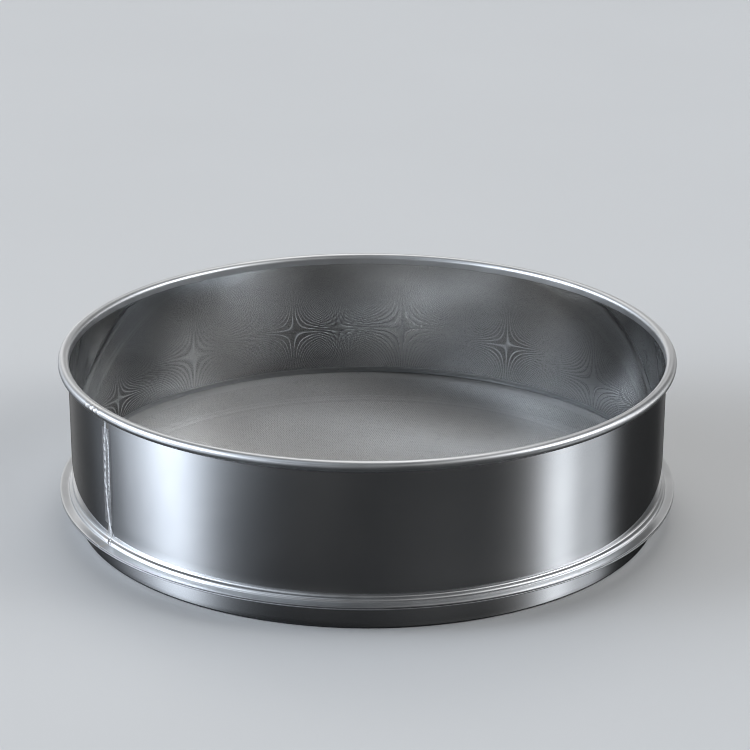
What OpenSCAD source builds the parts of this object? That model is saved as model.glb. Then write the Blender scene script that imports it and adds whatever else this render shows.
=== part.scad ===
// Round nesting soil sieve: a rolled sheet drum with a curled rim, a woven wire
// cloth held between two flange layers, and a short skirt that nests in the mouth
// of the next sieve. Millimetres, +Z up, origin on the ground under the centre.

/* [Drum] */
// Inside diameter of the mouth
mouth_d = 300; // [200:5:400]
// Thickness of the rolled sheet
sheet_t = 0.6; // [0.4:0.05:0.8]
// Outside radius of the curled rim's section
rim_r = 2.7; // [2.3:0.1:3.6]
// Height of the middle of the curled rim
rim_z = 82.9; // [50:0.1:150]
// How far round the rim's curl closes, back towards the wall
curl_end = -137; // [-137:1:-60]
// Radius of the core wire in the rim
rim_wire_r = 2; // [1:0.1:2]

/* [Foot] */
// Height of the flange's top face
flange_z = 15.2; // [10:0.1:30]
// How far the flange stands out from the wall
flange_w = 6.4; // [5:0.1:12]
// How far the foot bead steps out from the wall
bead_out = 1.9; // [1.4:0.1:2.6]
// Steepness of the step, in degrees
bead_angle = 70; // [50:1:80]

/* [Skirt] */
// Radial gap between the skirt and a mouth of the same size
skirt_gap = 1.5; // [0.5:0.1:3]
// Width of the lip turned in at the foot of the skirt
lip_w = 5.9; // [3:0.1:12]
// Inside radius of the skirt's bends
bend_r = 0.8; // [0.5:0.1:1.5]

/* [Cloth] */
// Thickness of the wire cloth over both layers of wire
cloth_t = 0.4; // [0.3:0.05:0.8]
// Width of the soldered edge outside the cloth
solder_w = 1.2; // [0.6:0.1:2]

/* [Welds] */
// Direction of the drum's seam, in degrees from +X
seam_a = -146.3; // [-180:0.1:180]
// Gap between the two ends of the strip, filled by the weld
seam_gap = 0.6; // [0.4:0.1:1]
// Width of the weld's crown on the outside
crown_w = 4.4; // [1.2:0.1:6]
// Height of the weld's crown on the outside
crown_h = 0.4; // [0.2:0.05:0.6]
// Height of the weld's crown on the inside
inner_h = 0.15; // [0.1:0.05:0.3]
// Length of the weld round the rim
rim_weld_w = 15; // [2:0.5:16]
// Length of the weld on the foot bead
foot_weld_w = 3.2; // [1:0.2:8]
// Thickness of the welds on the rim and the foot
blob_h = 0.35; // [0.2:0.05:0.5]

/* [Hidden] */
$fn = 240;
wall_i = mouth_d / 2;
wall_o = wall_i + sheet_t;
wall_m = wall_i + sheet_t / 2;
rim_c = [wall_i + rim_r, rim_z];
flange_r = wall_o + flange_w;
// the step at the foot: two equal bends, then a tight bend into the flange
tight_r = 0.3;
rho = bead_out / (2 * (1 - cos(bead_angle)));
step_lo = flange_z + tight_r;
step_hi = step_lo + 2 * rho * sin(bead_angle);
j1 = [wall_m + rho, step_hi];
j2 = [wall_m + bead_out - rho, step_lo];
j3 = [wall_o + bead_out + tight_r, step_lo];
// the stack at the flange: drum layer, cloth, skirt layer
cloth_top = flange_z - sheet_t;
cloth_low = cloth_top - cloth_t;
under_z = cloth_low - sheet_t;
cloth_r = flange_r - solder_w;
// the skirt
skirt_r = wall_i - skirt_gap;
bend_o = bend_r + sheet_t;
lip_r = skirt_r - lip_w;
skirt_seam_a = seam_a + 180;

function arc(c, r, a0, a1, n = 8) =
    [for (i = [0:n]) let (a = a0 + (a1 - a0) * i / n) [c[0] + r * cos(a), c[1] + r * sin(a)]];
function back(p) = [for (i = [len(p) - 1:-1:0]) p[i]];
function degrees(len, r) = len / r * 180 / PI;

// outer face of the foot, from the wall to the flange, set off by d
function foot_face(d = 0) = concat(
    arc(j1, rho - sheet_t / 2 - d, 180, 180 + bead_angle, 6),
    arc(j2, rho + sheet_t / 2 + d, bead_angle, 0, 6));

// section of the drum's strip: curl, wall, step and flange
module drum_section() {
    outside = concat(
        arc(rim_c, rim_r - sheet_t, curl_end, 180, 40),
        foot_face(),
        arc(j3, tight_r, 180, 270, 3),
        [[flange_r, flange_z]]);
    inside = concat(
        arc(rim_c, rim_r, curl_end, 180, 40),
        arc(j1, rho + sheet_t / 2, 180, 180 + bead_angle, 6),
        arc(j2, rho - sheet_t / 2, bead_angle, 0, 6),
        arc(j3, tight_r + sheet_t, 180, 270, 4),
        [[flange_r, flange_z - sheet_t]]);
    polygon(concat(outside, back(inside)));
}

// section of the skirt's strip: lip, skirt and flange
module skirt_section() {
    outside = concat(
        [[lip_r, 0]],
        arc([skirt_r - bend_o, bend_o], bend_o, -90, 0, 6),
        arc([skirt_r + bend_r, under_z - bend_r], bend_r, 180, 90, 6),
        [[flange_r, under_z]]);
    inside = concat(
        [[lip_r, sheet_t]],
        arc([skirt_r - bend_o, bend_o], bend_r, -90, 0, 6),
        arc([skirt_r + bend_r, under_z - bend_r], bend_o, 180, 90, 6),
        [[flange_r, cloth_low]]);
    polygon(concat(outside, back(inside)));
}

// a strip rolled round the axis with its ends a seam gap apart
module rolled(a, r) {
    g = degrees(seam_gap, r);
    rotate([0, 0, a + g / 2]) rotate_extrude(angle = 360 - g) children();
}

// a stretch of a section, w long at radius r, centred on direction a
module stretch(a, w, r) {
    g = degrees(w, r);
    rotate([0, 0, a - g / 2]) rotate_extrude(angle = g) children();
}

// an upright weld crown on the outside of a wall of radius r
module outer_crown(a, r, z0, z1) {
    rc = (crown_w * crown_w / 4 + crown_h * crown_h) / (2 * crown_h);
    c = r + crown_h - rc;
    x = (r * r - rc * rc + c * c) / (2 * c);
    y = sqrt(r * r - x * x);
    rise = atan2(y, x - c);
    foot = atan2(y, x);
    rotate([0, 0, a]) translate([0, 0, z0]) linear_extrude(z1 - z0) polygon(concat(
        arc([c, 0], rc, -rise, rise, 20),
        [for (i = [9:-1:-9]) [r * cos(foot * i / 10), r * sin(foot * i / 10)]]));
}

// the shallow crown on the inside of the same wall
module inner_crown(a, r, z0, z1) {
    rc = (0.64 + inner_h * inner_h) / (2 * inner_h);
    rotate([0, 0, a]) intersection() {
        translate([r - inner_h + rc, 0, z0]) cylinder(r = rc, h = z1 - z0);
        translate([0, 0, z0]) cylinder(r = r, h = z1 - z0);
    }
}

module drum_wall() {
    color([0.72, 0.73, 0.74]) rolled(seam_a, wall_m) drum_section();
}

module rim_wire() {
    color([0.55, 0.55, 0.56]) rotate_extrude() translate(rim_c) circle(r = rim_wire_r);
}

module drum_seam_weld() {
    color([0.66, 0.67, 0.68]) union() {
        stretch(seam_a, seam_gap, wall_m) drum_section();
        stretch(seam_a, seam_gap, wall_m) translate([wall_i - inner_h / 2, step_hi + 1])
            square([sheet_t + inner_h / 2 + crown_h / 2, rim_z - rim_r - step_hi - 2]);
        outer_crown(seam_a, wall_o, step_hi + 0.8, rim_z - rim_r - 0.8);
        inner_crown(seam_a, wall_i, step_hi + 0.8, rim_z - rim_r - 0.8);
    }
}

module rim_weld() {
    color([0.80, 0.81, 0.82]) stretch(seam_a - 1.8, rim_weld_w, wall_m) translate(rim_c) intersection() {
        difference() {
            circle(r = rim_r + blob_h);
            circle(r = rim_r);
        }
        translate([-1.6, -2 * rim_r]) square([4 * rim_r, 4 * rim_r]);
    }
}

module foot_weld() {
    color([0.76, 0.77, 0.78]) stretch(seam_a, foot_weld_w, wall_m) polygon(concat(
        [[wall_o, step_hi + 0.7]],
        foot_face(blob_h),
        [[wall_o + bead_out + blob_h, flange_z]],
        back(concat(foot_face(), arc(j3, tight_r, 180, 270, 3)))));
}

module flange_edge_weld() {
    color([0.76, 0.77, 0.78]) stretch(seam_a, 1.8, flange_r) difference() {
        translate([flange_r - 1.4, under_z])
            square([1.7, flange_z - under_z + 0.25]);
        translate([flange_r - 3, under_z - 1]) square([3, flange_z - under_z + 1]);
    }
}

module mesh_cloth() {
    color([0.60, 0.59, 0.57]) translate([0, 0, cloth_low]) cylinder(r = cloth_r, h = cloth_t);
}

module mesh_edge_solder() {
    color([0.42, 0.43, 0.44]) rotate_extrude()
        translate([cloth_r, cloth_low]) square([solder_w - 0.2, cloth_t]);
}

module skirt_ring() {
    color([0.70, 0.71, 0.72]) rolled(skirt_seam_a, skirt_r) skirt_section();
}

module skirt_seam_weld() {
    color([0.66, 0.67, 0.68]) union() {
        stretch(skirt_seam_a, seam_gap, skirt_r) skirt_section();
        stretch(skirt_seam_a, seam_gap, skirt_r) translate([skirt_r - sheet_t / 2, bend_o + 0.6])
            square([sheet_t / 2 + crown_h / 2, under_z - bend_r - bend_o - 1.2]);
        outer_crown(skirt_seam_a, skirt_r, bend_o + 0.4, under_z - bend_r - 0.4);
    }
}

drum_wall();
rim_wire();
drum_seam_weld();
rim_weld();
foot_weld();
flange_edge_weld();
mesh_cloth();
mesh_edge_solder();
skirt_ring();
skirt_seam_weld();
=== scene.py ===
"""Round nesting soil sieve: polished drum with a curled rim, stitched seam, woven wire cloth, flange and skirt."""

import math

import bpy
import numpy as np
from mathutils import Matrix, Vector


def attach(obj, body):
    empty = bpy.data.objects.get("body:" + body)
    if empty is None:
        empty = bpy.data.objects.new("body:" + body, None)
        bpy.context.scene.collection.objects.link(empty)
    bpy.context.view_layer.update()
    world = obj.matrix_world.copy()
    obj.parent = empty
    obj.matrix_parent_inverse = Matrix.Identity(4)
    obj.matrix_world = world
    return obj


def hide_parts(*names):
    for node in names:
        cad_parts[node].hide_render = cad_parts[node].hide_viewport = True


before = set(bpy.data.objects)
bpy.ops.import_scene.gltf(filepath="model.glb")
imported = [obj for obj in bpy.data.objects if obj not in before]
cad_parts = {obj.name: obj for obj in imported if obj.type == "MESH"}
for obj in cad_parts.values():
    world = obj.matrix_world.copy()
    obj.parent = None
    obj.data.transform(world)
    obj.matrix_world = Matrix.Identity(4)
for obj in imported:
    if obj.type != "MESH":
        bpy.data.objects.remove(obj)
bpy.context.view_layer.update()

MM = 0.001

# ---------------------------------------------------------------- sizes, in millimetres
WALL_I, WALL_O, SHEET = 150.0, 150.6, 0.6
RIM_C, RIM_R = (152.7, 82.9), 2.7
CURL_END = -137.0
BEAND = 70.0
RHO = 1.9 / (2 * (1 - math.cos(math.radians(BEAND))))
STEP_LO = 15.5
STEP_HI = STEP_LO + 2 * RHO * math.sin(math.radians(BEAND))
J1 = (150.3 + RHO, STEP_HI)
J2 = (150.3 + 1.9 - RHO, STEP_LO)
J3 = (152.8, STEP_LO)
FLANGE_R, FLANGE_Z = 157.0, 15.2
CLOTH_HI, CLOTH_LO, UNDER = 14.6, 14.2, 13.6
SKIRT_R, LIP_R = 148.5, 142.6
SEAM = math.radians(-146.3)
FOOT_D = 2.0  # how far round from the seam the foot bead's ends meet
SKIRT_SEAM = math.radians(33.7)


# ---------------------------------------------------------------- mesh helpers
def arc(c, r, a0, a1, n):
    a = np.radians(np.linspace(a0, a1, n + 1))
    return np.stack([c[0] + r * np.cos(a), c[1] + r * np.sin(a)], 1)


def line(p, q, n):
    """Points after p up to and with q."""
    t = np.linspace(0, 1, n + 1)[1:, None]
    return np.array(p) * (1 - t) + np.array(q) * t


def section(parts):
    """One closed outline from stretches, without doubled points, running so that its faces look outwards."""
    pts = np.concatenate([np.atleast_2d(p) for p in parts])
    keep = np.hypot(*(pts - np.roll(pts, 1, 0)).T) > 1e-6
    pts = pts[keep]
    x, y = pts.T
    if np.sum(x * np.roll(y, -1) - np.roll(x, -1) * y) < 0:
        pts = pts[::-1]
    return pts


def make(name, verts, quads, uv=None, smooth=35.0):
    """A mesh object from metres and quads, with an own map for its finish and sharp edges by angle."""
    me = bpy.data.meshes.new(name)
    n = len(quads)
    me.vertices.add(len(verts))
    me.vertices.foreach_set("co", np.ascontiguousarray(verts, np.float32).ravel())
    me.loops.add(4 * n)
    me.loops.foreach_set("vertex_index", np.ascontiguousarray(quads, np.int32).ravel())
    me.polygons.add(n)
    me.polygons.foreach_set("loop_start", np.arange(0, 4 * n, 4, dtype=np.int32))
    me.polygons.foreach_set("loop_total", np.full(n, 4, np.int32))
    me.polygons.foreach_set("use_smooth", np.ones(n, bool))
    if uv is not None:
        layer = me.uv_layers.new(name="OFBake")
        layer.data.foreach_set("uv", np.ascontiguousarray(uv, np.float32).ravel())
    me.update(calc_edges=True)
    me.validate()
    if smooth is not None:
        me.set_sharp_from_angle(angle=math.radians(smooth))
    ob = bpy.data.objects.new(name, me)
    bpy.context.scene.collection.objects.link(ob)
    return ob


def lathe(name, pts, angles, bend=None, smooth=35.0):
    """A closed section turned round +Z. bend(angle, r, z) gives shifts of r and z."""
    n, m = len(angles), len(pts)
    a = np.repeat(angles, m)
    r = np.tile(pts[:, 0], n)
    z = np.tile(pts[:, 1], n)
    if bend is not None:
        dr, dz = bend(a, r, z)
        r, z = r + dr, z + dz
    v = np.stack([r * np.cos(a), r * np.sin(a), z], 1) * MM
    i, j = np.meshgrid(np.arange(n), np.arange(m), indexing="ij")
    i2, j2 = (i + 1) % n, (j + 1) % m
    q = np.stack([i * m + j, i2 * m + j, i2 * m + j2, i * m + j2], -1).reshape(-1, 4)
    step = np.hypot(*(np.roll(pts, -1, 0) - pts).T)
    t = np.concatenate([[0], np.cumsum(step)]) / step.sum()
    s = np.concatenate([angles - angles[0], [2 * math.pi]]) / (2 * math.pi)
    u0, u1, v0, v1 = s[i], s[i + 1], t[j], t[j + 1]
    uv = np.stack([np.stack([u0, v0], -1), np.stack([u1, v0], -1), np.stack([u1, v1], -1), np.stack([u0, v1], -1)], -2)
    return make(name, v, q, uv.reshape(-1, 2), smooth)


def patch(name, top, low):
    """A closed skin from an upper grid and a lower grid of points, each (a, b, 3), in millimetres."""
    n, m = top.shape[:2]
    v = np.concatenate([top.reshape(-1, 3), low.reshape(-1, 3)]) * MM
    i, j = np.meshgrid(np.arange(n - 1), np.arange(m - 1), indexing="ij")
    a = np.stack([i * m + j, (i + 1) * m + j, (i + 1) * m + j + 1, i * m + j + 1], -1).reshape(-1, 4)
    b = a[:, ::-1] + n * m
    edge = np.concatenate([np.arange(m), np.arange(1, n) * m + m - 1, (n - 1) * m + np.arange(m - 2, -1, -1), np.arange(n - 2, 0, -1) * m])
    nxt = np.roll(edge, -1)
    side = np.stack([edge, nxt, nxt + n * m, edge + n * m], 1)
    quads = np.concatenate([a, b, side])
    # the faces look outwards where the upper grid lies outside the lower one
    p = v[quads[: len(a)]]
    normal = np.cross(p[:, 2] - p[:, 0], p[:, 3] - p[:, 1])
    away = (top[:-1, :-1] - low[:-1, :-1]).reshape(-1, 3)
    if np.sum(normal * away) < 0:
        quads = quads[:, ::-1]
    # its map: the upper grid in one half, the rest folded into the other
    g = np.stack(np.meshgrid(np.linspace(0, 1, n), np.linspace(0, 1, m), indexing="ij"), -1).reshape(-1, 2)
    where = np.concatenate([g * [1, 0.48], g * [1, 0.48] + [0, 0.52]])
    return make(name, v, quads, where[quads.ravel()], 60.0)


def ring(c, s):
    """A point on a circle of radius c at angle s."""
    return c * np.cos(s), c * np.sin(s)


def lumps(u, v, seed, scale):
    """Smooth seeded noise from -1 to 1 over two coordinates, as a sum of waves."""
    g = np.random.default_rng(seed)
    out, total = np.zeros_like(u), 0.0
    for k in range(14):
        f = scale * (0.6 + 1.9 * g.random())
        th, ph = g.random() * 2 * math.pi, g.random() * 2 * math.pi
        w = 1.0 / f
        out += w * np.sin(2 * math.pi * f * (u * math.cos(th) + v * math.sin(th)) + ph)
        total += w
    return out / total * 2.2


def smoothstep(a, b, x):
    t = np.clip((x - a) / (b - a), 0, 1)
    return t * t * (3 - 2 * t)


def off_seam(a, seam):
    """Signed angle from a seam."""
    return (a - seam + math.pi) % (2 * math.pi) - math.pi


def angles_with(seam, n, fine_mm, reach_mm, radius):
    """Angles all round, closer together near a seam."""
    a = np.linspace(0, 2 * math.pi, n, endpoint=False) + seam
    near = np.arange(-reach_mm, reach_mm + 1e-9, fine_mm) / radius + seam
    wide = np.arange(-4 * reach_mm, 4 * reach_mm + 1e-9, 1.0) / radius + seam
    a = a[np.abs(off_seam(a, seam)) > 4 * reach_mm / radius]
    wide = wide[np.abs(off_seam(wide, seam)) > reach_mm / radius + 1e-6]
    all_ = np.concatenate([off_seam(a, seam), off_seam(near, seam), off_seam(wide, seam)])
    return np.sort(all_) + seam


# ---------------------------------------------------------------- node helpers
class Graph:
    """A material's nodes."""

    def __init__(self, name):
        self.mat = bpy.data.materials.new(name)
        self.mat.use_nodes = True
        self.nt = self.mat.node_tree
        self.nt.nodes.clear()
        self.out = self.node("ShaderNodeOutputMaterial")
        self.p = self.node("ShaderNodeBsdfPrincipled")
        self.link(self.p.outputs[0], self.out.inputs[0])
        self.co = self.node("ShaderNodeTexCoord").outputs["Object"]

    def node(self, kind, **props):
        n = self.nt.nodes.new(kind)
        for k, v in props.items():
            setattr(n, k, v)
        return n

    def link(self, a, b):
        self.nt.links.new(a, b)

    def put(self, socket, value):
        if isinstance(value, bpy.types.NodeSocket):
            self.link(value, socket)
        else:
            socket.default_value = value

    def math(self, op, a, b=0.0, c=0.0, clamp=False):
        n = self.node("ShaderNodeMath", operation=op, use_clamp=clamp)
        for s, v in zip(n.inputs, (a, b, c)):
            self.put(s, v)
        return n.outputs[0]

    def dot(self, a, vector):
        n = self.node("ShaderNodeVectorMath", operation="DOT_PRODUCT")
        self.put(n.inputs[0], a)
        n.inputs[1].default_value = vector
        return n.outputs["Value"]

    def scaled(self, vector, scale):
        n = self.node("ShaderNodeMapping")
        self.put(n.inputs["Vector"], vector)
        n.inputs["Scale"].default_value = scale
        return n.outputs[0]

    def combine(self, x, y, z):
        n = self.node("ShaderNodeCombineXYZ")
        for s, v in zip(n.inputs, (x, y, z)):
            self.put(s, v)
        return n.outputs[0]

    def split(self, vector):
        n = self.node("ShaderNodeSeparateXYZ")
        self.put(n.inputs[0], vector)
        return n.outputs

    def noise(self, vector, scale, detail=2.0, rough=0.5, warp=0.0):
        n = self.node("ShaderNodeTexNoise")
        self.put(n.inputs["Vector"], vector)
        n.inputs["Scale"].default_value = scale
        n.inputs["Detail"].default_value = detail
        n.inputs["Roughness"].default_value = rough
        n.inputs["Distortion"].default_value = warp
        return n.outputs["Fac"]

    def remap(self, value, a, b, lo, hi, smooth=False):
        n = self.node("ShaderNodeMapRange", clamp=True)
        if smooth:
            n.interpolation_type = "SMOOTHSTEP"
        for s, v in zip(n.inputs, (value, a, b, lo, hi)):
            self.put(s, v)
        return n.outputs[0]

    def ramp(self, value, stops):
        n = self.node("ShaderNodeValToRGB")
        el = n.color_ramp.elements
        while len(el) < len(stops):
            el.new(0.5)
        for e, (at, col) in zip(el, stops):
            e.position = at
            e.color = (*col, 1.0)
        self.put(n.inputs[0], value)
        return n.outputs[0]

    def mix(self, fac, a, b):
        n = self.node("ShaderNodeMix", data_type="RGBA")
        self.put(n.inputs[0], fac)
        for s, v in ((n.inputs[6], a), (n.inputs[7], b)):
            self.put(s, v if isinstance(v, bpy.types.NodeSocket) else (*v, 1.0))
        return n.outputs[2]

    def bump(self, height, strength, distance):
        n = self.node("ShaderNodeBump")
        n.inputs["Strength"].default_value = strength
        n.inputs["Distance"].default_value = distance
        self.put(n.inputs["Height"], height)
        return n.outputs[0]


def sheet_steel(name, seam, low, high):
    """Mirror-polished stainless sheet: faint lines along the strip, smudges, a brushed, tinted zone beside the weld, and a satin finish
    where it is formed, below the heights in low and above those in high, in metres."""
    g = Graph(name)
    x, y, z = g.split(g.co)
    r = g.math("SQRT", g.math("ADD", g.math("MULTIPLY", x, x), g.math("MULTIPLY", y, y)))
    along = g.combine(g.math("MULTIPLY", x, 9.0), g.math("MULTIPLY", y, 9.0), g.math("MULTIPLY", g.math("ADD", z, r), 2100.0))
    lines = g.noise(along, 1.0, 3.0, 0.6)
    smudge = g.noise(g.co, 22.0, 4.0, 0.55, 0.4)
    patchy = g.noise(g.co, 70.0, 3.0, 0.6)
    # distance from the seam along the sheet, on the seam's side only
    c, s = math.cos(seam), math.sin(seam)
    d = g.math("ABSOLUTE", g.dot(g.co, (-s, c, 0.0)))
    side = g.math("GREATER_THAN", g.dot(g.co, (c, s, 0.0)), 0.0)
    near = g.math("MULTIPLY", g.remap(d, 0.0012, 0.0075, 1.0, 0.0, True), side)
    rub = g.noise(g.scaled(g.co, (1500.0, 1500.0, 60.0)), 1.0, 3.0, 0.6)
    rubbed = g.math("MULTIPLY", near, g.remap(rub, 0.35, 0.7, 0.2, 1.0))
    base = g.mix(g.remap(smudge, 0.3, 0.7, 0.0, 1.0), (0.585, 0.595, 0.605), (0.66, 0.665, 0.67))
    base = g.mix(g.math("MULTIPLY", lines, 0.12), base, (0.50, 0.505, 0.51))
    tint = g.ramp(g.math("MULTIPLY", d, 125.0), [(0.10, (0.60, 0.60, 0.61)), (0.28, (0.66, 0.58, 0.46)), (0.48, (0.54, 0.52, 0.56)), (0.80, (0.62, 0.625, 0.635))])
    base = g.mix(g.math("MULTIPLY", g.math("MULTIPLY", near, 0.55), g.remap(patchy, 0.35, 0.6, 0.3, 1.0)), base, tint)
    g.link(base, g.p.inputs["Base Color"])
    rough = g.math("ADD", g.remap(smudge, 0.45, 0.75, 0.012, 0.040), g.remap(lines, 0.35, 0.75, 0.0, 0.010))
    rough = g.math("ADD", rough, g.math("MULTIPLY", rubbed, 0.16))
    rough = g.math("ADD", rough, g.math("MULTIPLY", g.remap(z, low[0], low[1], 1.0, 0.0, True), g.remap(patchy, 0.35, 0.65, 0.26, 0.32)))
    rough = g.math("ADD", rough, g.math("MULTIPLY", g.remap(z, high[0], high[1], 0.0, 1.0, True), g.remap(patchy, 0.35, 0.65, 0.33, 0.39)))
    g.link(rough, g.p.inputs["Roughness"])
    height = g.math("ADD", g.math("MULTIPLY", lines, 0.5), g.math("MULTIPLY", rubbed, 1.2))
    g.link(g.bump(height, 0.012, 0.00001), g.p.inputs["Normal"])
    g.p.inputs["Metallic"].default_value = 1.0
    return g.mat


def weld_steel(name, light, dark, rough_lo, rough_hi):
    """As-welded metal: patchy scale, fine ripples and a brushed shine on the high spots."""
    g = Graph(name)
    spots = g.noise(g.co, 900.0, 4.0, 0.6, 0.6)
    fine = g.noise(g.co, 3200.0, 3.0, 0.6)
    base = g.mix(g.remap(spots, 0.35, 0.68, 0.0, 1.0), dark, light)
    g.link(base, g.p.inputs["Base Color"])
    g.link(g.remap(fine, 0.3, 0.7, rough_lo, rough_hi), g.p.inputs["Roughness"])
    g.link(g.bump(g.math("ADD", spots, g.math("MULTIPLY", fine, 0.4)), 0.35, 0.00006), g.p.inputs["Normal"])
    g.p.inputs["Metallic"].default_value = 1.0
    return g.mat


def wire_steel(name):
    """Drawn stainless wire: a little warmer than the sheet, with long tone changes from coil to coil and dusty spots."""
    g = Graph(name)
    broad = g.noise(g.co, 16.0, 3.0, 0.55, 0.5)
    fine = g.noise(g.co, 240.0, 2.0, 0.6)
    base = g.mix(g.remap(broad, 0.32, 0.68, 0.0, 1.0), (0.55, 0.545, 0.535), (0.64, 0.635, 0.625))
    base = g.mix(g.remap(fine, 0.55, 0.8, 0.0, 0.5), base, (0.44, 0.435, 0.43))
    g.link(base, g.p.inputs["Base Color"])
    g.link(g.remap(fine, 0.3, 0.8, 0.28, 0.32), g.p.inputs["Roughness"])
    g.p.inputs["Metallic"].default_value = 1.0
    return g.mat


def solder_metal(name):
    g = Graph(name)
    spots = g.noise(g.co, 500.0, 4.0, 0.6, 0.4)
    g.link(g.mix(g.remap(spots, 0.3, 0.7, 0.0, 1.0), (0.20, 0.20, 0.205), (0.36, 0.36, 0.37)), g.p.inputs["Base Color"])
    g.link(g.remap(spots, 0.3, 0.7, 0.35, 0.6), g.p.inputs["Roughness"])
    g.link(g.bump(spots, 0.4, 0.00008), g.p.inputs["Normal"])
    g.p.inputs["Metallic"].default_value = 1.0
    return g.mat


def drawn_wire(name):
    """The bright core wire in the rim: fine drawing lines along it."""
    g = Graph(name)
    x, y, z = g.split(g.co)
    r = g.math("SQRT", g.math("ADD", g.math("MULTIPLY", x, x), g.math("MULTIPLY", y, y)))
    lines = g.noise(g.combine(g.math("MULTIPLY", r, 3000.0), g.math("MULTIPLY", z, 3000.0), g.math("MULTIPLY", x, 8.0)), 1.0, 2.0)
    g.link(g.mix(lines, (0.46, 0.46, 0.47), (0.60, 0.60, 0.61)), g.p.inputs["Base Color"])
    g.link(g.remap(lines, 0.3, 0.7, 0.2, 0.35), g.p.inputs["Roughness"])
    g.p.inputs["Metallic"].default_value = 1.0
    return g.mat


STEEL = sheet_steel("polished_sheet", SEAM, (0.0184, 0.0200), (0.0792, 0.0812))
SKIRT_STEEL = sheet_steel("polished_sheet_skirt", SKIRT_SEAM, (0.0004, 0.0020), (0.0118, 0.0132))
WELD = weld_steel("weld_metal", (0.76, 0.76, 0.76), (0.54, 0.54, 0.54), 0.24, 0.40)
WIRE = wire_steel("wire_cloth")
SOLDER = solder_metal("solder")
CORE = drawn_wire("core_wire")


def dress(ob, mat, slot, *nodes):
    ob.data.materials.clear()
    ob.data.materials.append(mat)
    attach(ob, "root")
    if nodes:
        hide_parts(*nodes)
    return ob


# ---------------------------------------------------------------- camera
yaw, pitch, roll = (math.radians(v) for v in (0.85, 20.505, 0.171))
fwd = Vector((math.sin(yaw) * math.cos(pitch), math.cos(yaw) * math.cos(pitch), -math.sin(pitch)))
right = Vector((math.cos(yaw), -math.sin(yaw), 0.0))
up = right.cross(fwd)
r2 = right * math.cos(roll) + up * math.sin(roll)
u2 = up * math.cos(roll) - right * math.sin(roll)
cam_data = bpy.data.cameras.new("camera")
cam_data.sensor_width = 36.0
cam_data.lens = 2471.84 / 750 * 36.0
cam_data.clip_start = 0.05
cam = bpy.data.objects.new("camera", cam_data)
bpy.context.scene.collection.objects.link(cam)
cam.matrix_world = Matrix((
    (r2.x, u2.x, -fwd.x, -13.586 * MM),
    (r2.y, u2.y, -fwd.y, -1174.778 * MM),
    (r2.z, u2.z, -fwd.z, 509.015 * MM),
    (0, 0, 0, 1),
))
bpy.context.scene.camera = cam


# ---------------------------------------------------------------- drum
def drum_section():
    e = 0.14  # rounding of cut edges
    end = math.radians(CURL_END)
    tip = np.array(RIM_C) + np.array([math.cos(end), math.sin(end)]) * (RIM_R - SHEET / 2)
    return section([
        arc(RIM_C, RIM_R - SHEET, CURL_END + 2, 180, 22),
        line((WALL_O, RIM_C[1]), (WALL_O, STEP_HI), 13),
        arc(J1, RHO - SHEET / 2, 180, 180 + BEAND, 10)[1:],
        arc(J2, RHO + SHEET / 2, BEAND, 0, 12)[1:],
        arc(J3, 0.3, 180, 270, 5)[1:],
        line((J3[0], FLANGE_Z), (FLANGE_R - e, FLANGE_Z), 4),
        arc((FLANGE_R - e, FLANGE_Z - e), e, 90, 0, 3)[1:],
        arc((FLANGE_R - e, CLOTH_HI + e), e, 0, -90, 3),
        line((FLANGE_R - e, CLOTH_HI), (J3[0], CLOTH_HI), 3),
        arc(J3, 0.3 + SHEET, 270, 180, 6)[1:],
        arc(J2, RHO - SHEET / 2, 0, BEAND, 8)[1:],
        arc(J1, RHO + SHEET / 2, 180 + BEAND, 180, 9)[1:],
        line((WALL_I, STEP_HI), (WALL_I, RIM_C[1]), 14),
        arc(RIM_C, RIM_R, 180, CURL_END + 3, 54)[1:],
        [tip],
    ])


def drum_bend(a, r, z):
    """The slight waviness of thin rolled sheet, a drawn-in wall beside the weld and a pinched foot bead at the seam."""
    mid = smoothstep(19, 34, z) * (1 - smoothstep(66, 79.5, z))
    wave = 0.030 * np.sin(3 * a + 0.6) + 0.022 * np.sin(5 * a + 2.1) + 0.014 * np.sin(8 * a + 4.0 + z * 0.03) + 0.010 * np.sin(13 * a + 1.0 - z * 0.05)
    d = off_seam(a, SEAM) * 150.6
    weld = -0.10 * np.exp(-((d / 9.0) ** 2)) + 0.035 * np.exp(-(((np.abs(d) - 15) / 6.0) ** 2)) - 0.03 * np.exp(-(((d - 3.5) / 0.8) ** 2))
    on_wall = (r < 151.2) & (z > 18)
    dr = np.where(on_wall, mid * (wave + weld), 0.0)
    foot = np.exp(-(((z - 16.3) / 1.3) ** 2)) * (r > 150.3) * (r < 152.9)
    dr = dr - foot * (1.05 * np.exp(-(((d - FOOT_D) / 1.2) ** 2)) - 0.16 * np.exp(-(((d - FOOT_D - 2.6) / 1.1) ** 2)))
    # the foot bead and the flange follow the hand of the roller a little
    dr = dr + 0.04 * np.sin(4 * a + 1.2) * ((z < 19) & (r < 153))
    return dr, np.zeros_like(dr)


drum = lathe("drum_shell", drum_section(), angles_with(SEAM, 420, 0.25, 7.0, 150.6), drum_bend)
dress(drum, STEEL, "polished_sheet", "drum_wall")


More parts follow.
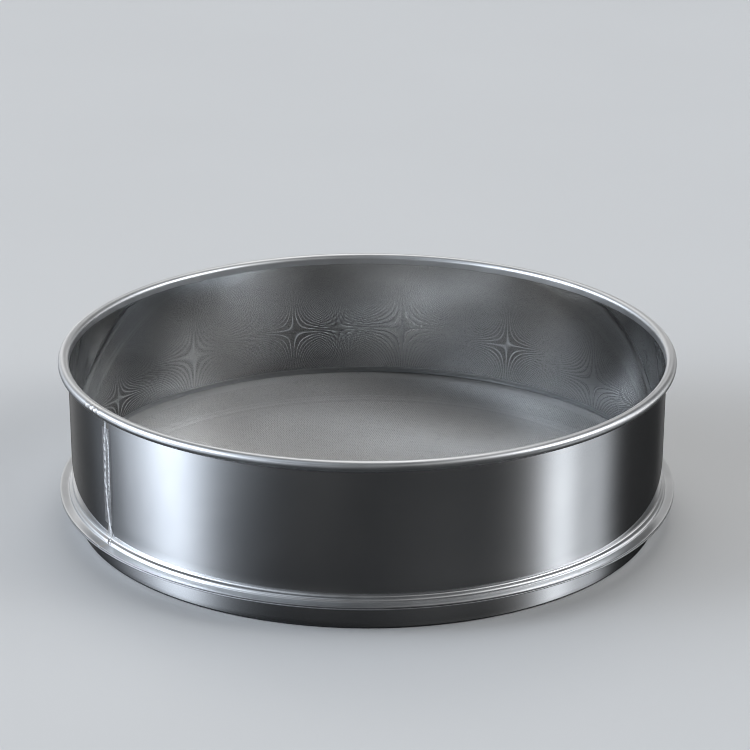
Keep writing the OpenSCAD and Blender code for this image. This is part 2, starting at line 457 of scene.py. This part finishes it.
# ---------------------------------------------------------------- skirt
def skirt_section():
    e, lip = 0.14, 0.6  # rounding of cut edges, and the rolled edge of the lip
    return section([
        arc((LIP_R + lip, lip), lip, 180, 270, 7),
        line((LIP_R + lip, 0), (SKIRT_R - 1.4, 0), 3),
        arc((SKIRT_R - 1.4, 1.4), 1.4, -90, 0, 12)[1:],
        line((SKIRT_R, 1.4), (SKIRT_R, UNDER - 0.8), 6),
        arc((SKIRT_R + 0.8, UNDER - 0.8), 0.8, 180, 90, 9)[1:],
        line((SKIRT_R + 0.8, UNDER), (FLANGE_R - e, UNDER), 4),
        arc((FLANGE_R - e, UNDER + e), e, -90, 0, 3)[1:],
        arc((FLANGE_R - e, CLOTH_LO - e), e, 0, 90, 3),
        line((FLANGE_R - e, CLOTH_LO), (SKIRT_R + 0.8, CLOTH_LO), 4),
        arc((SKIRT_R + 0.8, UNDER - 0.8), 1.4, 90, 180, 12)[1:],
        line((SKIRT_R - SHEET, UNDER - 0.8), (SKIRT_R - SHEET, 1.4), 6),
        arc((SKIRT_R - 1.4, 1.4), 0.8, 0, -90, 9)[1:],
        line((SKIRT_R - 1.4, SHEET), (LIP_R + 2 * lip, SHEET), 3),
        arc((LIP_R + lip, lip), lip, 0, 180, 16)[1:],
    ])


def skirt_bend(a, r, z):
    mid = smoothstep(1.5, 4.5, z) * (1 - smoothstep(9.5, 12.6, z))
    wave = 0.03 * np.sin(3 * a + 2.0) + 0.02 * np.sin(7 * a + 0.3)
    d = off_seam(a, SKIRT_SEAM) * SKIRT_R
    return np.where((r < 149) & (r > 147.5), mid * (wave - 0.06 * np.exp(-((d / 7.0) ** 2))), 0.0), np.zeros_like(r)


skirt = lathe("skirt_shell", skirt_section(), angles_with(SKIRT_SEAM, 420, 0.5, 6.0, SKIRT_R), skirt_bend)
dress(skirt, SKIRT_STEEL, "polished_sheet", "skirt_ring")


# ---------------------------------------------------------------- welds
def on_wall(radius, seam, w, z, h):
    """Points on an upright wall: w millimetres round from the seam, z up, h out from radius."""
    x, y = ring(radius + h, seam + w / radius)
    return np.stack([x, y, z], -1)


def bump_at(x, centre, width):
    return np.exp(-(((x - centre) / width) ** 2))


def stitch(w, z, z0, z1, seed):
    """Height of the drum's weld over its wall: a lumpy strand and a smoother one side by side, that run together at both ends."""
    two = smoothstep(34, 43, z) * (1 - smoothstep(68.5, 73, z))
    left = np.interp(z, [19, 21, 27, 34, 43, 48, 58, 67, 72, 79.5], [1.0, 1.0, 0.2, -0.9, -1.6, -1.9, -1.6, -1.4, -0.8, -0.4])
    right = np.interp(z, [34, 43, 53, 66, 73], [0.0, 1.2, 1.6, 1.7, 0.2])
    beat = (z - 48.3) / 4.73 + 0.05 * np.sin(z * 0.9)
    up = beat - np.floor(beat)
    head = np.minimum(up, 1 - up) * 4.73
    one = (0.30 - 0.10 * two) * bump_at(w, left, 0.48 + 0.10 * two + 0.75 * (1 - smoothstep(20, 27, z)))
    tail = 0.36 * two * bump_at(w, left - 0.25 - 1.5 * up, 0.46) * np.clip(1 - 1.35 * up, 0, 1) ** 0.7
    lump = 0.19 * two * bump_at(w, left, 0.70) * bump_at(head, 0.0, 0.95)
    other = two * (0.21 + 0.05 * np.cos(2 * math.pi * (z / 2.4 + 0.12 * w))) * bump_at(w, right, 0.46)
    body = 0.05 * two * np.clip(1 - (w / 2.6) ** 2, 0, 1)
    h = np.maximum(np.maximum(one + lump, tail), np.maximum(other, body))
    h = h * (1 + 0.14 * lumps(w, z, seed, 0.45))
    ends = smoothstep(z0, z0 + 0.9, z) * (1 - smoothstep(z1 - 1.2, z1, z))
    return np.clip(h * ends - 0.035, -0.05, 0.4)


w, z = np.meshgrid(np.linspace(-3.6, 2.9, 74), np.linspace(18.95, 79.45, 300), indexing="ij")
top = on_wall(WALL_O, SEAM, w, z, stitch(w, z, 18.95, 79.45, 11))
low = on_wall(WALL_O - 0.25, SEAM, w * 0.95, z, np.zeros_like(w))
seam_weld = patch("seam_weld", top, low)
dress(seam_weld, WELD, "weld_metal", "drum_seam_weld")

w, z = np.meshgrid(np.linspace(-0.95, 0.95, 17), np.linspace(19.2, 79.2, 240), indexing="ij")
s = np.abs(w) / 0.8
h = np.clip(1 - s ** 2, 0, 1) * (0.10 + 0.025 * np.cos(2 * math.pi * (z / 2.05 + 0.3 * s ** 2))) + 0.015 * lumps(w, z, 5, 0.5) * (s < 1)
h = np.clip(h, 0, 0.15) * smoothstep(19.2, 20.4, z) * (1 - smoothstep(78, 79.2, z)) - 0.05 * (s > 1.02)
top = on_wall(WALL_I, SEAM, w, z, -h)
low = on_wall(WALL_I + 0.25, SEAM, w * 0.9, z, np.zeros_like(w))
seam_root = patch("seam_weld_root", top, low)
dress(seam_root, WELD, "weld_metal", "drum_seam_weld")

w, z = np.meshgrid(np.linspace(-2.5, 2.5, 41), np.linspace(1.85, 12.35, 64), indexing="ij")
s = np.clip(np.abs(w) / (1.95 + 0.12 * np.sin(z * 1.7)), 0, 1)
h = 0.26 * (1 - s ** 2) ** 0.8 + 0.05 * np.cos(2 * math.pi * (z / 1.9 + 0.3 * s ** 2)) * (1 - s ** 2) + 0.03 * lumps(w, z, 23, 0.55) * (1 - s ** 2)
top = on_wall(SKIRT_R, SKIRT_SEAM, w, z, np.clip(h * smoothstep(1.85, 2.7, z) * (1 - smoothstep(11.4, 12.35, z)), 0, 0.4) - 0.05 * smoothstep(0.9, 1.1, s))
low = on_wall(SKIRT_R - 0.25, SKIRT_SEAM, w * 0.9, z, np.zeros_like(w))
skirt_weld = patch("skirt_weld", top, low)
dress(skirt_weld, WELD, "weld_metal", "skirt_seam_weld")

# the lumps on the rolled rim
d, t = np.meshgrid(np.linspace(-12.9, 3.5, 124), np.radians(np.linspace(118, -112, 60)), indexing="ij")
body = np.clip(1 - ((d + 4.7) / 8.1) ** 4, 0, 1) * smoothstep(math.radians(118), math.radians(60), t) * (1 - smoothstep(math.radians(-64), math.radians(-112), t))
bead = 0.035 + 0.05 * lumps(d, t * RIM_R, 31, 0.22)
for d0, t0, size, high in ((-10.85, 2, 1.35, 0.27), (-5.85, 14, 1.35, 0.31), (-2.2, 12, 1.2, 0.31), (1.58, 18, 1.2, 0.27), (-8.2, -50, 1.1, 0.30), (-4.1, 56, 1.4, 0.10), (-0.4, -48, 0.9, 0.14)):
    bead = np.maximum(bead, high * np.exp(-((d - d0) ** 2 + ((t - math.radians(t0)) * RIM_R) ** 2) / size ** 2) + 0.03 * lumps(d, t * RIM_R, 37, 0.5))
h = np.clip(bead * body, -0.02, 0.34) - 0.07 * (1 - smoothstep(0.0, 0.25, body))
a = SEAM + d / 152.7


def on_rim(h):
    r = RIM_C[0] + (RIM_R + h) * np.cos(t)
    return np.stack([r * np.cos(a), r * np.sin(a), RIM_C[1] + (RIM_R + h) * np.sin(t)], -1)


rim_weld = patch("rim_weld_bead", on_rim(h), on_rim(np.full_like(h, -0.35)))
dress(rim_weld, WELD, "weld_metal", "rim_weld")

# the lumps that close the foot bead
path = np.concatenate([
    [[WALL_O, STEP_HI + 0.75]],
    arc(J1, RHO - SHEET / 2, 180, 180 + BEAND, 14),
    arc(J2, RHO + SHEET / 2, BEAND, 0, 16)[1:],
    arc(J3, 0.3, 180, 250, 5)[1:],
])
run = np.concatenate([[0], np.cumsum(np.hypot(*np.diff(path, axis=0).T))])
u = np.linspace(0, run[-1], 44)
px, pz = np.interp(u, run, path[:, 0]), np.interp(u, run, path[:, 1])
tx, tz = np.gradient(px, u), np.gradient(pz, u)
size = np.hypot(tx, tz)
nx, nz = -tz / size, tx / size
if nx[20] < 0:
    nx, nz = -nx, -nz
d, i = np.meshgrid(np.linspace(-1.6, 1.6, 41), np.arange(44), indexing="ij")
v = u[i]
edge = np.clip(1 - (d / 1.6) ** 2, 0, 1) ** 0.5 * smoothstep(0, 0.7, v) * (1 - smoothstep(run[-1] - 0.7, run[-1], v))
h = 0.16 * np.exp(-(((d + 1.15) / 0.5) ** 2)) + 0.36 * np.exp(-(((d - 1.05) / 0.62) ** 2)) * smoothstep(0.9, 2.0, v)
h = h + 0.03 * lumps(d, v, 41, 0.35) - 0.95 * np.exp(-(((d + 0.05) / 0.72) ** 2)) * smoothstep(0.8, 2.0, v)
h = np.clip(h * edge, -0.85, 0.34) - 0.07 * (1 - smoothstep(0.0, 0.3, edge))


def on_foot(h):
    r, zz = px[i] + nx[i] * h, pz[i] + nz[i] * h
    aa = SEAM + (d + FOOT_D) / 150.3
    return np.stack([r * np.cos(aa), r * np.sin(aa), zz], -1)


foot_weld = patch("foot_weld_bead", on_foot(h), on_foot(np.minimum(h, 0.0) - 0.3))
dress(foot_weld, WELD, "weld_metal", "foot_weld")

# the small step where the flange's edge is closed
path = np.concatenate([line((155.7, 15.2), (156.8, 15.2), 8), arc((156.75, 14.95), 0.25, 90, 0, 6), line((157.0, 14.95), (157.0, 13.75), 10), arc((156.85, 13.75), 0.15, 0, -60, 3)[1:]])
run = np.concatenate([[0], np.cumsum(np.hypot(*np.diff(path, axis=0).T))])
u = np.linspace(0, run[-1], 36)
px, pz = np.interp(u, run, path[:, 0]), np.interp(u, run, path[:, 1])
tx, tz = np.gradient(px, u), np.gradient(pz, u)
size = np.hypot(tx, tz)
nx, nz = -tz / size, tx / size
if nx[25] < 0:
    nx, nz = -nx, -nz
d, i = np.meshgrid(np.linspace(-0.9, 0.9, 25), np.arange(36), indexing="ij")
v = u[i]
edge = np.clip(1 - (np.abs(d) / 0.9) ** 3, 0, 1) * smoothstep(0, 0.5, v) * (1 - smoothstep(run[-1] - 0.4, run[-1], v))
h = np.clip((0.20 * smoothstep(-0.35, 0.3, d) - 0.03 + 0.02 * lumps(d, v, 53, 0.4)) * edge, -0.04, 0.24) - 0.05 * (1 - smoothstep(0.0, 0.3, edge))


def on_edge(h):
    r, zz = px[i] + nx[i] * h, pz[i] + nz[i] * h
    aa = SEAM + d / 157.0
    return np.stack([r * np.cos(aa), r * np.sin(aa), zz], -1)


edge_weld = patch("flange_edge_bead", on_edge(h), on_edge(np.full_like(h, -0.4)))
dress(edge_weld, WELD, "weld_metal", "flange_edge_weld")


# ---------------------------------------------------------------- wire cloth
PITCH, WIRE_R, CLOTH_R = 0.705, 0.099, 155.4
PSI = math.radians(30.0)
COUNT = int(CLOTH_R / PITCH)


def uneven(seed):
    """Where the wires of one direction lie: an even pitch with the slow drift and small jitter of real weaving."""
    g = np.random.default_rng(seed)
    k = np.arange(-COUNT, COUNT + 1)
    drift = np.cumsum(g.normal(0, 0.004, len(k)))
    drift -= np.interp(k, [k[0], 0, k[-1]], [drift[0], drift[len(k) // 2], drift[-1]])
    return k, k * PITCH + drift + g.normal(0, 0.014, len(k))


def strain(x, y):
    """How far the stretched cloth is pulled out of square, and how far it stands off flat, in millimetres."""
    hold = 1 - smoothstep(140, 150, np.hypot(x, y))
    dx = 0.10 * lumps(x, y, 61, 1 / 70)
    dy = 0.10 * lumps(x, y, 67, 1 / 70)
    dz = 0.05 * lumps(x, y, 71, 1 / 90)
    return dx * hold, dy * hold, dz * hold


def cloth(name, lengthwise, parts):
    k, at = uneven(3 if lengthwise else 4)
    j, cross = uneven(4 if lengthwise else 3)
    keep = np.abs(at) < CLOTH_R - 2
    k, at = k[keep], at[keep]
    weight = np.sqrt(CLOTH_R ** 2 - at ** 2)
    share = np.cumsum(weight) / weight.sum()
    mid = (CLOTH_HI + CLOTH_LO) / 2
    for n in range(parts):
        mine = (share > n / parts - (n == 0)) & (share <= (n + 1) / parts + (n == parts - 1))
        verts, quads, base = [], [], 0
        for kk, s in zip(k[mine], at[mine]):
            half = math.sqrt(CLOTH_R ** 2 - s * s)
            inner = np.abs(cross) < half - 0.15
            t = np.concatenate([[-half], cross[inner], [half]])
            sign = np.where((kk + j[inner]) % 2 == 0, 1.0, -1.0) * (1 if lengthwise else -1)
            h = np.concatenate([[0], sign * WIRE_R, [0]])
            c = len(t)
            dx, dy, dz = strain(np.full(c, s) if lengthwise else t, t if lengthwise else np.full(c, s))
            side = np.array([1, 0, -1, 0]) * WIRE_R
            rise = np.array([0, 1, 0, -1]) * WIRE_R
            p = np.empty((c, 4, 3))
            if lengthwise:
                p[..., 0] = s + side + dx[:, None]
                p[..., 1] = (t + dy)[:, None]
            else:
                p[..., 0] = (t + dx)[:, None]
                p[..., 1] = s - side + dy[:, None]
            p[..., 2] = mid + (h + dz)[:, None] + rise
            verts.append(p.reshape(-1, 3))
            i = np.arange(c - 1)[:, None] * 4
            m = np.arange(4)[None]
            q = np.stack([i + m, i + 4 + m, i + 4 + (m + 1) % 4, i + (m + 1) % 4], -1).reshape(-1, 4)
            e = (c - 1) * 4
            q = np.concatenate([q, [[0, 1, 2, 3], [e + 3, e + 2, e + 1, e]]])
            quads.append(q + base)
            base += 4 * c
        v, q = np.concatenate(verts), np.concatenate(quads)
        x, y = v[:, 0].copy(), v[:, 1].copy()
        v[:, 0] = x * math.cos(PSI) - y * math.sin(PSI)
        v[:, 1] = x * math.sin(PSI) + y * math.cos(PSI)
        lo, hi = np.array([x.min(), y.min()]), np.array([x.max(), y.max()])
        flat = (np.stack([x, y], 1) - lo) / (hi - lo)
        ob = make(f"{name}_{n + 1}", v * MM, q, flat[q.ravel()], None)
        dress(ob, WIRE, "wire_cloth", "mesh_cloth")


cloth("cloth_warp", True, 7)
cloth("cloth_weft", False, 7)


# ---------------------------------------------------------------- carried-over nodes
for node, mat in (("rim_wire", CORE), ("mesh_edge_solder", SOLDER)):
    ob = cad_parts[node]
    ob.data.materials.clear()
    ob.data.materials.append(mat)


# ---------------------------------------------------------------- stage and light
def plane(name, size, z):
    me = bpy.data.meshes.new(name)
    s = size / 2
    me.from_pydata([(-s, -s, z), (s, -s, z), (s, s, z), (-s, s, z)], [], [(0, 1, 2, 3)])
    ob = bpy.data.objects.new(name, me)
    bpy.context.scene.collection.objects.link(ob)
    return ob


floor = plane("floor", 12.0, 0.0)
g = Graph("pale_floor")
g.link(g.mix(g.noise(g.co, 3.0, 3.0), (0.66, 0.66, 0.655), (0.70, 0.70, 0.695)), g.p.inputs["Base Color"])
g.p.inputs["Roughness"].default_value = 0.75
floor.data.materials.append(g.mat)
floor.visible_glossy = False

# a plain pale wall all round, for views from low down: light and reflections pass it
a = np.linspace(0, 2 * math.pi, 128, endpoint=False)
foot = [(5.8 * math.cos(v), 5.8 * math.sin(v), 0.0) for v in a]
head = [(x, y, 6.0) for x, y, z in foot]
me = bpy.data.meshes.new("backdrop")
me.from_pydata(foot + head, [], [(i, (i + 1) % 128, (i + 1) % 128 + 128, i + 128) for i in range(128)])
me.shade_smooth()
backdrop = bpy.data.objects.new("backdrop", me)
bpy.context.scene.collection.objects.link(backdrop)
g = Graph("pale_wall")
g.link(g.mix(g.noise(g.co, 1.0, 3.0), (0.66, 0.66, 0.655), (0.70, 0.70, 0.695)), g.p.inputs["Base Color"])
g.p.inputs["Roughness"].default_value = 0.85
backdrop.data.materials.append(g.mat)
backdrop.visible_diffuse = False
backdrop.visible_glossy = False
backdrop.visible_shadow = False

# what the polished steel mirrors of the ground: a dark polished sheet that only reflections see
card = plane("floor_reflected", 12.0, 0.00005)
g = Graph("dark_ground")
g.link(g.mix(g.noise(g.co, 3.0, 3.0), (0.034, 0.0345, 0.035), (0.044, 0.0445, 0.045)), g.p.inputs["Base Color"])
g.p.inputs["Roughness"].default_value = 0.17
card.data.materials.append(g.mat)
card.visible_camera = False
card.visible_diffuse = False
card.visible_shadow = False

# soft light from all round: a pale room with large diffused lights, each a smooth lobe round a direction
world = bpy.data.worlds.new("studio")
bpy.context.scene.world = world
world.use_nodes = True
nt = world.node_tree
bg = nt.nodes["Background"]
way = nt.nodes.new("ShaderNodeTexCoord").outputs["Generated"]


def vec(op, a, b=None, scale=None):
    n = nt.nodes.new("ShaderNodeVectorMath")
    n.operation = op
    for s, v in ((n.inputs[0], a), (n.inputs[1], b)):
        if isinstance(v, bpy.types.NodeSocket):
            nt.links.new(v, s)
        elif v is not None:
            s.default_value = v
    if scale is not None:
        nt.links.new(scale, n.inputs["Scale"])
    return n.outputs["Value" if op == "DOT_PRODUCT" else "Vector"]


def num(op, a, b=0.0):
    n = nt.nodes.new("ShaderNodeMath")
    n.operation = op
    for s, v in zip(n.inputs, (a, b)):
        if isinstance(v, bpy.types.NodeSocket):
            nt.links.new(v, s)
        else:
            s.default_value = v
    return n.outputs[0]


def lobe(az, el, wide, high, strength, colour=(1.0, 1.0, 1.0)):
    """Light that is strongest in one direction and fades over wide and high degrees."""
    az, el = math.radians(az), math.radians(el)
    ca, sa, ce, se = math.cos(az), math.sin(az), math.cos(el), math.sin(el)
    a = num("DIVIDE", vec("DOT_PRODUCT", way, (-sa, ca, 0.0)), math.sin(math.radians(wide)))
    b = num("DIVIDE", vec("DOT_PRODUCT", way, (-se * ca, -se * sa, ce)), math.sin(math.radians(high)))
    fall = num("EXPONENT", num("MULTIPLY", num("ADD", num("MULTIPLY", a, a), num("MULTIPLY", b, b)), -1.0))
    front = num("MINIMUM", num("MAXIMUM", num("MULTIPLY", vec("DOT_PRODUCT", way, (ce * ca, ce * sa, se)), 3.0), 0.0), 1.0)
    return vec("SCALE", tuple(strength * c for c in colour), scale=num("MULTIPLY", fall, front))


COOL, FRESH, NEUTRAL = (0.894, 0.976, 1.09), (0.946, 0.988, 1.04), (1.0, 1.0, 1.0)
LIGHTS = (
    # the large soft lights left and right, with their edges
    (-174, 19, 26, 8, 9.6, COOL),
    (-168, 25, 12, 12, 6.2, COOL),
    (-139, 55, 12, 10, 1.5, COOL),
    (-134, 13, 12, 8, 0.57, COOL),
    (-12, 25, 9, 8, 9.8, FRESH),
    (6, 25, 9, 8, 4.7, FRESH),
    (-2, 31, 15, 10, 0.78, FRESH),
    (-22, 36, 12, 15, 2.4, NEUTRAL),
    # the room's front
    (-58, 36, 19, 10, 0.76, NEUTRAL),
    (-110, 16, 15, 8, 0.38, NEUTRAL),
    # the lamp high behind, and the pale wall behind
    (60, 72, 12, 10, 2.36, NEUTRAL),
    (83, 55, 12, 12, 1.43, NEUTRAL),
    (104, 46, 19, 13, 1.39, NEUTRAL),
    (120, 31, 11, 12, 0.72, NEUTRAL),
    (108, 19, 9, 20, 0.78, NEUTRAL),
    (72, 28, 9, 25, 0.55, NEUTRAL),
    (98, 1, 56, 8, 1.3, NEUTRAL),
    (20, 1, 15, 8, 2.9, NEUTRAL),
)
total = (0.05, 0.05, 0.05)
for light in LIGHTS:
    total = vec("ADD", lobe(*light), total)
nt.links.new(total, bg.inputs["Color"])
bg.inputs["Strength"].default_value = 1.0

scene = bpy.context.scene
scene.view_settings.view_transform = "Standard"
scene.cycles.max_bounces = 16
scene.cycles.glossy_bounces = 12
scene.cycles.sample_clamp_indirect = 8.0
scene.cycles.filter_width = 1.0
scene.cycles.denoising_prefilter = "ACCURATE"
